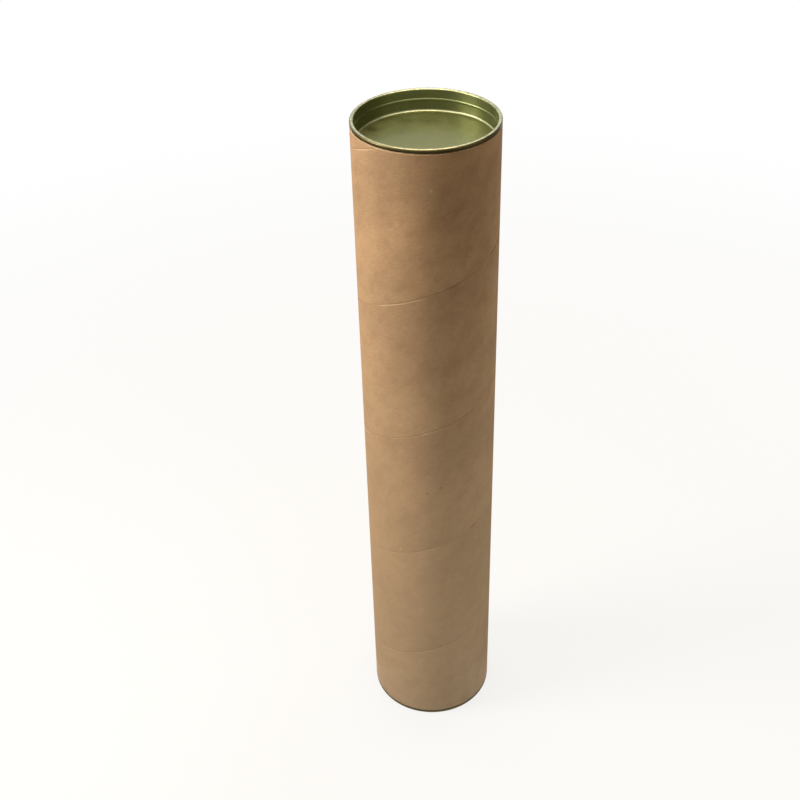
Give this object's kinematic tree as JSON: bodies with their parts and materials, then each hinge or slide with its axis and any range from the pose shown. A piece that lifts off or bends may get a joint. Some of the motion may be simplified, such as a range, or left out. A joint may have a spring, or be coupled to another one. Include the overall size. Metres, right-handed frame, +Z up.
{
  "type": "cardboard mailing tube",
  "caption": "Round spirally wound kraft board tube with a crimped tinplate bottom and a push-in tinplate lid that lifts off, for posting and storing rolled papers.",
  "frame": {"origin": "middle of the base, on the plane of the bottom rim", "axes": "+Z up along the tube's axis, to the lid; -Y is the front that the picture shows; +X to the right of it"},
  "size_m": [0.06, 0.06, 0.3196],
  "materials": {
    "kraft_board": "matte",
    "lacquered_tinplate": "satin"
  },
  "bodies": {
    "tube_body": {"board_tube": "kraft_board", "bottom_end": "lacquered_tinplate"},
    "lid_body": {"lid": "lacquered_tinplate"}
  },
  "joints": [
    {"name": "lid_lift", "type": "slide", "parent": "tube_body", "child": "lid_body", "axis": [0, 0, 1], "range_m": [0, 0.06]}
  ]
}
